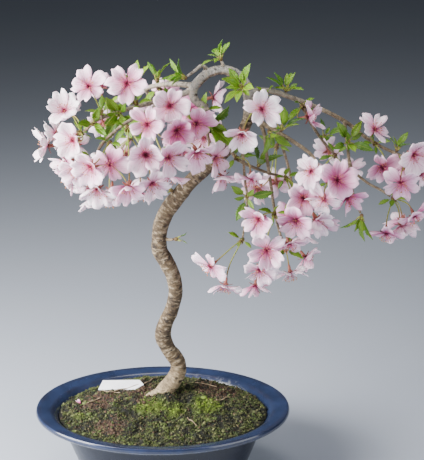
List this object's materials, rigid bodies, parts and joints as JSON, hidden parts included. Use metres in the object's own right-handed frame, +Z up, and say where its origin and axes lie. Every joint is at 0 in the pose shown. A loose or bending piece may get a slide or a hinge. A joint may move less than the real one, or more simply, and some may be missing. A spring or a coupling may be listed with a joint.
{
  "type": "weeping cherry bonsai",
  "caption": "Weeping cherry bonsai in bloom: a winding, looped trunk with hanging sprays of pale pink blossom and fresh leaves, in an oval blue glazed pot.",
  "frame": {"origin": "centre of the pot's flat foot, on its underside", "axes": "+Z up, +X along the pot to the right of the front view, the front faces -Y"},
  "size_m": [0.3208, 0.1832, 0.37],
  "materials": {
    "glaze": "gloss",
    "soil": "matte",
    "bark": "matte",
    "label": "satin",
    "screen": "matte",
    "blossom": "matte",
    "leaf": "satin"
  },
  "bodies": {
    "root": {"pot": "glaze", "soil": "soil", "trunk": "bark", "plant_label": "label", "drain_screen_left": "screen", "drain_screen_right": "screen", "spray_left_01": "blossom", "spray_left_02": "blossom", "spray_left_03": "blossom", "spray_left_04": "blossom", "spray_left_05": "blossom", "spray_left_06": "blossom", "spray_left_07": "blossom", "spray_left_08": "blossom", "spray_left_09": "blossom", "spray_left_10": "blossom", "spray_left_11": "blossom", "spray_left_12": "blossom", "spray_left_13": "blossom", "spray_left_14": "blossom", "spray_left_15": "blossom", "spray_left_16": "blossom", "spray_left_17": "blossom", "spray_left_18": "blossom", "spray_right_01": "blossom", "spray_right_02": "blossom", "spray_right_03": "blossom", "spray_right_04": "blossom", "spray_right_05": "blossom", "spray_right_06": "blossom", "spray_right_07": "blossom", "spray_right_08": "blossom", "spray_right_09": "blossom", "spray_right_10": "blossom", "spray_right_11": "blossom", "spray_right_12": "blossom", "spray_right_13": "blossom", "spray_right_14": "blossom", "shoot_01": "leaf", "shoot_02": "leaf", "shoot_03": "leaf", "shoot_04": "leaf", "shoot_05": "leaf", "shoot_06": "leaf", "shoot_07": "leaf", "shoot_08": "leaf", "shoot_09": "leaf", "shoot_10": "leaf", "shoot_11": "leaf", "shoot_12": "leaf", "shoot_13": "leaf", "shoot_14": "leaf", "shoot_15": "leaf", "shoot_16": "leaf", "shoot_17": "leaf", "shoot_18": "leaf", "shoot_19": "leaf"}
  },
  "joints": []
}
